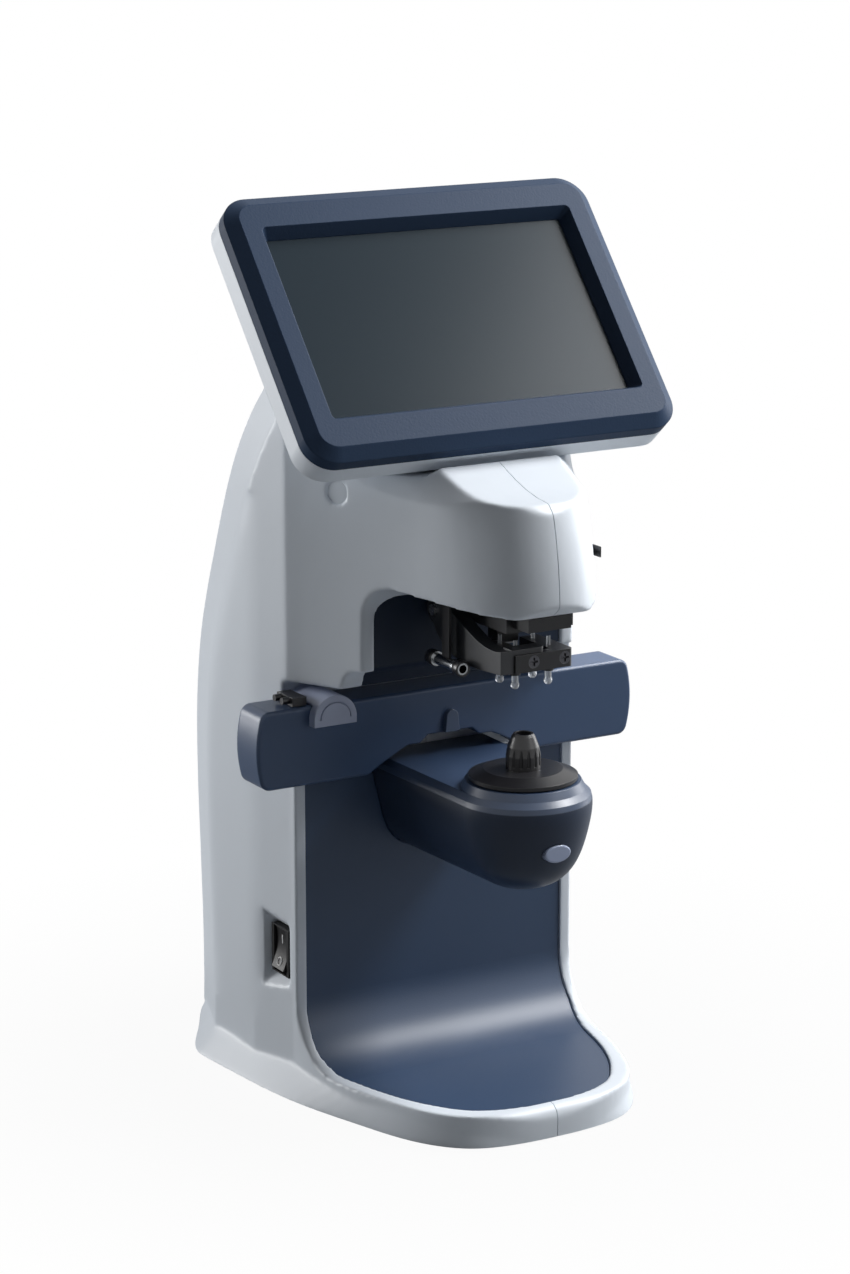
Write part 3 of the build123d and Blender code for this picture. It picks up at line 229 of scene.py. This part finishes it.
def copied(node, body, material):
    """A merged copy of a CAD node's mesh, to be worked into the piece that stands for it."""
    piece = bpy.data.objects.new(node + "_piece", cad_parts[node].data.copy())
    bpy.context.collection.objects.link(piece)
    bpy.ops.object.select_all(action="DESELECT")
    piece.select_set(True)
    bpy.context.view_layer.objects.active = piece
    bpy.ops.object.mode_set(mode="EDIT")
    bpy.ops.mesh.select_all(action="SELECT")
    bpy.ops.mesh.remove_doubles(threshold=0.00001)
    bpy.ops.object.mode_set(mode="OBJECT")
    piece.data.materials.clear()
    piece.data.materials.append(material)
    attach(piece, body)
    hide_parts(node)
    return piece


IN_PLANE = 0.00005


def run_on(piece, axis, level, distance):
    """Extends a piece past the plane at this level, from its flat faces that lie in the plane."""
    bpy.ops.object.mode_set(mode="EDIT")
    bpy.ops.mesh.select_all(action="DESELECT")
    bpy.ops.object.mode_set(mode="OBJECT")
    for face in piece.data.polygons:
        corners = [piece.data.vertices[i].co[axis] for i in face.vertices]
        face.select = all(abs(corner - level) < IN_PLANE for corner in corners)
    reach = [0, 0, 0]
    reach[axis] = distance
    bpy.ops.object.mode_set(mode="EDIT")
    bpy.ops.mesh.extrude_region_move(TRANSFORM_OT_translate={"value": reach})
    bpy.ops.object.mode_set(mode="OBJECT")


def cut_off(axis, level, side):
    """Cuts away what lies past the plane, on the side given as 1 or -1, and closes the cut."""
    place = [0, 0, 0]
    place[axis] = level
    outward = [0, 0, 0]
    outward[axis] = side
    bpy.ops.object.mode_set(mode="EDIT")
    bpy.ops.mesh.select_all(action="SELECT")
    bpy.ops.mesh.bisect(plane_co=place, plane_no=outward, use_fill=True, clear_outer=True)
    bpy.ops.object.mode_set(mode="OBJECT")


# The edges are rounded by a remesh and a smoothing, which would also round the flat joint faces
# and the bottom rim. So the cover first runs on past those planes, and is cut there at the end.
ALONG_X = 0
ALONG_Z = 2
RUN_ON = 0.010
JOINT_GAP = 0.0002
COVER_VOXEL = 0.0011
COVER_TRIANGLES = 180000
EDGE_PASSES = 5
WALL_PASSES = 160
WALL_FROM_X = 0.072
WALL_Y = (0.004, 0.085)
WALL_Z = (0.030, 0.280)


def on_side_wall(place):
    """Whether a point lies on the long side wall, whose plan is one smooth curve."""
    if abs(place.x) < WALL_FROM_X:
        return False
    return WALL_Y[0] < place.y < WALL_Y[1] and WALL_Z[0] < place.z < WALL_Z[1]


cover_white = plastic("cover_white", (0.68, 0.73, 0.79), roughness=0.42)
for node, inward in (("left_cover", 1), ("right_cover", -1)):
    cover_low, cover_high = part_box(node)
    joint_face = cover_high.x if inward > 0 else cover_low.x
    cover = copied(node, "stand", cover_white)
    run_on(cover, ALONG_X, joint_face, inward * RUN_ON)
    run_on(cover, ALONG_Z, cover_low.z, -RUN_ON)
    apply_modifier(cover, "REMESH", mode="VOXEL", voxel_size=COVER_VOXEL)
    apply_modifier(cover, "SMOOTH", factor=0.5, iterations=EDGE_PASSES)
    side_wall = cover.vertex_groups.new(name="side_wall")
    side_wall.add([v.index for v in cover.data.vertices if on_side_wall(v.co)], 1.0, "ADD")
    apply_modifier(cover, "SMOOTH", factor=0.5, iterations=WALL_PASSES, vertex_group="side_wall")
    cut_off(ALONG_X, -inward * JOINT_GAP, inward)
    cut_off(ALONG_Z, cover_low.z, -1)
    triangles = sum(len(face.vertices) - 2 for face in cover.data.polygons)
    apply_modifier(cover, "DECIMATE", ratio=COVER_TRIANGLES / triangles)
    bpy.ops.object.shade_smooth_by_angle(angle=radians(50))


# Cover plugs.
# Round caps of the covers' own plastic are pressed into the holes over the upper screws, one on
# each side of the head.
def finish_nodes(material, *names):
    """Gives CAD nodes a material."""
    for name in names:
        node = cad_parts[name]
        node.data.materials.clear()
        node.data.materials.append(material)


finish_nodes(cover_white, "cover_plugs")


# Front panel.
# One navy sheet of textured plastic is bent over the foot, up the cove and up the column. It lies
# a millimetre under the covers' rim.
navy = plastic("navy", (0.024, 0.049, 0.102), roughness=0.42, relief=0.16, edge=0.0008)
finish_nodes(navy, "front_panel")


# Throat panel.
# A second sheet of plastic closes the back of the throat behind the lens holder. Its near-black
# navy is painted shade, standing in for the shade that the arm and bar throw into the throat.
throat_shade_navy = plastic("throat_shade_navy", (0.010, 0.018, 0.036), roughness=0.42, relief=0.08, shine=0.2)
finish_nodes(throat_shade_navy, "throat_panel")


# Nosepiece arm.
# The arm that the lens is held over is two navy mouldings that meet in a level joint. The upper
# one rises in a shallow cone round the measuring window and is the lighter of the two.
arm_upper = plastic("arm_upper_navy", (0.028, 0.050, 0.100), roughness=0.38, relief=0.10,
                    edge=0.0004, shine=0.6)
finish_nodes(arm_upper, "arm_upper_cover")
arm_lower = plastic("arm_lower_navy", (0.012, 0.022, 0.046), roughness=0.36, relief=0.10,
                    edge=0.0003, shine=0.35)
finish_nodes(arm_lower, "arm_lower_housing")


# Nosepiece and its disc.
# Both are black moulded plastic. The disc lies on the arm's cone, and the fluted nosepiece stands
# on its spring over the window and lifts out for cleaning.
black = plastic("black", (0.009, 0.009, 0.011), roughness=0.32, edge=0.0002)
finish_nodes(black, "nosepiece", "nosepiece_disc")


# Read button.
# A lilac oval key in the arm's front face, a smooth moulding that is pressed in by a finger.
lilac = plastic("lilac", (0.30, 0.35, 0.49), roughness=0.36, edge=0.0006)
finish_nodes(lilac, "read_button")


# Table bar.
# A hollow navy moulding that the lower edge of a pair of glasses rests against. A small tongue
# stands at the middle of its front, in a paler navy that is painted light for its lit front.
bar_navy = plastic("bar_navy", (0.040, 0.074, 0.150), roughness=0.36, relief=0.10, edge=0.0014,
                   shine=0.45)
finish_nodes(bar_navy, "table_bar")
# Painted light: the tongue is navy like the bar, made paler to stand in for the light on its front.
peg_lit_navy = plastic("peg_lit_navy", (0.060, 0.088, 0.150), roughness=0.36, relief=0.06, edge=0.0004)
finish_nodes(peg_lit_navy, "table_peg")


# Table rods and bushes.
# Two ground steel rods carry the bar. They slide in bronze bushes in the column, out of sight.
METAL_DARKER = 0.94
METAL_LIGHTER = 1.05
METAL_GLOSS_SPREAD = 0.06
METAL_GRAIN = 900.0


def metal(name, colour, roughness):
    """Turned or ground metal with fine uneven gloss."""
    material = bpy.data.materials.new(name)
    material.use_nodes = True
    nodes = material.node_tree.nodes
    links = material.node_tree.links
    shader = nodes["Principled BSDF"]
    shader.inputs["Metallic"].default_value = 1.0
    place = nodes.new("ShaderNodeTexCoord")
    grain = nodes.new("ShaderNodeTexNoise")
    grain.inputs["Scale"].default_value = METAL_GRAIN
    grain.inputs["Detail"].default_value = 2.0
    links.new(place.outputs["Object"], grain.inputs["Vector"])
    gloss = nodes.new("ShaderNodeMapRange")
    gloss.inputs["To Min"].default_value = roughness - METAL_GLOSS_SPREAD
    gloss.inputs["To Max"].default_value = roughness + METAL_GLOSS_SPREAD
    links.new(grain.outputs["Fac"], gloss.inputs["Value"])
    links.new(gloss.outputs["Result"], shader.inputs["Roughness"])
    tint = nodes.new("ShaderNodeMix")
    tint.data_type = "RGBA"
    tint.inputs["A"].default_value = (*[part * METAL_DARKER for part in colour], 1)
    tint.inputs["B"].default_value = (*[min(1.0, part * METAL_LIGHTER) for part in colour], 1)
    links.new(grain.outputs["Fac"], tint.inputs["Factor"])
    links.new(tint.outputs["Result"], shader.inputs["Base Color"])
    return material


steel = metal("steel", (0.56, 0.57, 0.58), roughness=0.28)
finish_nodes(steel, "table_rods")
bronze = metal("bronze", (0.45, 0.30, 0.14), roughness=0.35)
finish_nodes(bronze, "rod_bushes")


# Nose-bridge slider.
# A lilac moulding sits astride the bar's top and runs along it. It carries a black double roller
# that the rim of the lens leans on.
slider_lilac = plastic("slider_lilac", (0.44, 0.49, 0.64), roughness=0.34, edge=0.0006)
finish_nodes(slider_lilac, "bridge_slider")
finish_nodes(black, "slider_rollers")


# Lens holder.
# A dark grey curved arm swings on a steel shaft under the head and carries a black frame. Two
# cross-head screws of blackened steel go into the frame's front.
dark_grey = plastic("dark_grey", (0.020, 0.022, 0.026), roughness=0.42, edge=0.0004)
finish_nodes(dark_grey, "holder_arm")
finish_nodes(black, "holder_frame")
finish_nodes(steel, "holder_shaft")
black_steel = metal("black_steel", (0.10, 0.10, 0.11), roughness=0.30)
finish_nodes(black_steel, "holder_screws")


# Lens pins.
# Four sprung pins of soft, slightly milky plastic hang in the holder's frame and press the lens
# down on the nosepiece.
HAZE_SCALE = 400.0
CLEAREST = 0.6
HAZIEST = 1.4


def clear_plastic(name, colour, roughness, refraction, clearness=1.0):
    """Clear moulded plastic or glass with a trace of surface haze."""
    material = bpy.data.materials.new(name)
    material.use_nodes = True
    nodes = material.node_tree.nodes
    links = material.node_tree.links
    shader = nodes["Principled BSDF"]
    shader.inputs["Base Color"].default_value = (*colour, 1)
    shader.inputs["Transmission Weight"].default_value = clearness
    shader.inputs["IOR"].default_value = refraction
    place = nodes.new("ShaderNodeTexCoord")
    haze = nodes.new("ShaderNodeTexNoise")
    haze.inputs["Scale"].default_value = HAZE_SCALE
    links.new(place.outputs["Object"], haze.inputs["Vector"])
    gloss = nodes.new("ShaderNodeMapRange")
    gloss.inputs["To Min"].default_value = roughness * CLEAREST
    gloss.inputs["To Max"].default_value = roughness * HAZIEST
    links.new(haze.outputs["Fac"], gloss.inputs["Value"])
    links.new(gloss.outputs["Result"], shader.inputs["Roughness"])
    return material


pin_clear = clear_plastic("pin_clear", (0.88, 0.91, 0.95), roughness=0.22, refraction=1.42,
                          clearness=0.62)
finish_nodes(pin_clear, "holder_pin_1", "holder_pin_2", "holder_pin_3", "holder_pin_4")


# Measuring optics.
# A black housing under the head takes the lamp and the collimator lens. In the arm lie the glass
# window, the measuring lens and the board of the image sensor.
finish_nodes(black, "optics_housing")
finish_nodes(dark_grey, "lamp")
optic_glass = clear_plastic("optic_glass", (0.96, 0.98, 0.98), roughness=0.02, refraction=1.52)
finish_nodes(optic_glass, "collimator_lens", "protective_glass", "measuring_lens")
board = plastic("board", (0.015, 0.09, 0.045), roughness=0.35)
finish_nodes(board, "sensor_board")


# Marking unit.
# A black carriage brings its pen down on the lens. The lever that works it is black plastic too,
# and ends in a short handle close to the head's right wall.
HANDLE_LENGTH = 0.007
HANDLE_SHARE = 0.18
LEVER_EDGE = 0.0003

finish_nodes(black, "marking_carriage", "marking_pen")
handle_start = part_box("marking_lever")[1].x - HANDLE_LENGTH
lever = copied("marking_lever", "marking_lever", black)
for vertex in lever.data.vertices:
    if vertex.co.x > handle_start:
        vertex.co.x = handle_start + (vertex.co.x - handle_start) * HANDLE_SHARE
apply_modifier(lever, "BEVEL", width=LEVER_EDGE, segments=2)
bpy.ops.object.shade_smooth_by_angle(angle=radians(35))


# Inking roller.
# A chromed sleeve on a black hanger, which inks the marking pads. A black cap closes its front
# end and a black collar sits on its rear end, both with a dished face.
END_RADIUS = 0.0036
END_LENGTH = 0.0042
CAP_PROUD = 0.0003
COLLAR_INSET = 0.0014
RIM_WIDTH = 0.0009
DISH_DEPTH = 0.0009
GROOVE_WIDTH = 0.0006
BOSS_HEIGHT = 0.0006
END_EDGE = 0.0002
FACING_FRONT = -0.9

chrome = metal("chrome", (0.40, 0.41, 0.42), roughness=0.16)
finish_nodes(chrome, "marking_roller")
finish_nodes(black, "roller_hanger")
roller_low, roller_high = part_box("marking_roller")
roller_middle = (roller_low + roller_high) / 2
cap_y = roller_low.y - CAP_PROUD + END_LENGTH / 2
collar_y = roller_high.y - COLLAR_INSET - END_LENGTH / 2
for name, end_y in (("roller_cap", cap_y), ("roller_collar", collar_y)):
    bpy.ops.object.select_all(action="DESELECT")
    bpy.ops.mesh.primitive_cylinder_add(vertices=48, radius=END_RADIUS, depth=END_LENGTH,
                                        location=(roller_middle.x, end_y, roller_middle.z),
                                        rotation=(pi / 2, 0, 0))
    end = bpy.context.active_object
    end.name = name
    bpy.ops.object.transform_apply(location=True, rotation=True, scale=True)
    bpy.ops.object.mode_set(mode="EDIT")
    bpy.ops.mesh.select_all(action="DESELECT")
    bpy.ops.object.mode_set(mode="OBJECT")
    for face in end.data.polygons:
        face.select = face.normal.y < FACING_FRONT
    bpy.ops.object.mode_set(mode="EDIT")
    bpy.ops.mesh.inset(thickness=RIM_WIDTH)
    bpy.ops.mesh.extrude_region_move(TRANSFORM_OT_translate={"value": (0, DISH_DEPTH, 0)})
    bpy.ops.mesh.inset(thickness=GROOVE_WIDTH)
    bpy.ops.mesh.extrude_region_move(TRANSFORM_OT_translate={"value": (0, -BOSS_HEIGHT, 0)})
    bpy.ops.object.mode_set(mode="OBJECT")
    apply_modifier(end, "BEVEL", width=END_EDGE, segments=2)
    bpy.ops.object.shade_smooth_by_angle(angle=radians(35))
    end.data.materials.append(black)
    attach(end, "stand")


# Power switch.
# A black rocker tips in its housing, in the left cover's recess. It bears the usual marks for on
# and off, moulded in white: a bar above and a ring below.
MARK_SPREAD = 0.0052
MARK_RAISED = 0.0001
BAR_SIZE = (0.0008, 0.0042, 0.0005)
BAR_EDGE = 0.00012
RING_RADIUS = 0.0018
RING_LINE = 0.00036
FACING_LEFT = -0.8

switch_black = plastic("switch_black", (0.008, 0.008, 0.009), roughness=0.45, edge=0.0002, shine=0.25)
finish_nodes(switch_black, "switch_housing", "power_rocker")
mark_white = plastic("mark_white", (0.75, 0.75, 0.75), roughness=0.5)
rocker_low, rocker_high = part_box("power_rocker")
rocker_middle = (rocker_low + rocker_high) / 2
rocker_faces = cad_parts["power_rocker"].data.polygons
rocker_front = [face for face in rocker_faces if face.normal.x < FACING_LEFT]


def mark_place(height):
    """Where a mark lies on the rocker's outer face at this height, and how it is turned."""
    face = min(rocker_front, key=lambda facet: abs(facet.center.z - height))
    spot = face.center + face.normal * MARK_RAISED
    spot.y = rocker_middle.y
    return spot, face.normal.to_track_quat("Z", "Y").to_euler()


def moulded_in(mark, name):
    """Names a mark, gives it its white plastic and lets it tip with the rocker."""
    mark.name = name
    bpy.ops.object.shade_smooth_by_angle(angle=radians(35))
    mark.data.materials.append(mark_white)
    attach(mark, "power_rocker")


bpy.ops.object.select_all(action="DESELECT")
bar_spot, bar_turn = mark_place(rocker_middle.z + MARK_SPREAD)
bpy.ops.mesh.primitive_cube_add(size=1, location=bar_spot, rotation=bar_turn)
bpy.context.active_object.scale = BAR_SIZE
bpy.ops.object.transform_apply(location=True, rotation=True, scale=True)
apply_modifier(bpy.context.active_object, "BEVEL", width=BAR_EDGE, segments=2)
moulded_in(bpy.context.active_object, "mark_on")

bpy.ops.object.select_all(action="DESELECT")
ring_spot, ring_turn = mark_place(rocker_middle.z - MARK_SPREAD)
bpy.ops.mesh.primitive_torus_add(location=ring_spot, rotation=ring_turn, major_radius=RING_RADIUS,
                                 minor_radius=RING_LINE, major_segments=40, minor_segments=8)
bpy.ops.object.transform_apply(location=True, rotation=True, scale=True)
moulded_in(bpy.context.active_object, "mark_off")


# Mains inlet.
# A black socket for a detachable cord, snapped into the covers low down at the back.
finish_nodes(black, "power_inlet")


# Frames and electronics inside the body.
# An aluminium casting stands in the column, and a plate in the head carries the lamp and the
# optics. The power supply has a metal case, and the main board is a green circuit board.
cast = metal("cast_aluminium", (0.42, 0.42, 0.43), roughness=0.55)
finish_nodes(cast, "column_frame", "head_frame", "power_supply")
finish_nodes(board, "main_board")


# Base plate and feet.
# A dark grey plate closes the underside, and four soft black rubber feet under it stand on the
# table.
finish_nodes(dark_grey, "base_plate")
rubber = plastic("rubber", (0.012, 0.012, 0.012), roughness=0.75, grain=700.0, relief=0.2)
finish_nodes(rubber, "rubber_feet")


# Screen.
# A blue-grey bezel with a fine grain frames the touch glass, over a white back cover. The glass is
# etched against glare, so the light over the right side shows in it as a wide soft glow.
bezel_blue = plastic("bezel_blue", (0.026, 0.046, 0.088), roughness=0.42, grain=900.0, relief=0.30,
                     edge=0.0006, shine=0.07)
finish_nodes(bezel_blue, "screen_bezel")
screen_white = plastic("screen_white", (0.78, 0.83, 0.89), roughness=0.42, edge=0.0008)
finish_nodes(screen_white, "screen_back_cover")
screen_glass = plastic("screen_glass", (0.020, 0.031, 0.041), roughness=0.22, relief=0.0, shine=0.055)
finish_nodes(screen_glass, "touch_glass")


# Display and hinge.
# The display module and its board lie inside the screen. Its two black lugs turn on steel pins
# behind the head.
finish_nodes(dark_grey, "display_module")
finish_nodes(board, "display_board")
finish_nodes(black, "hinge_lugs")
finish_nodes(steel, "hinge_pins")
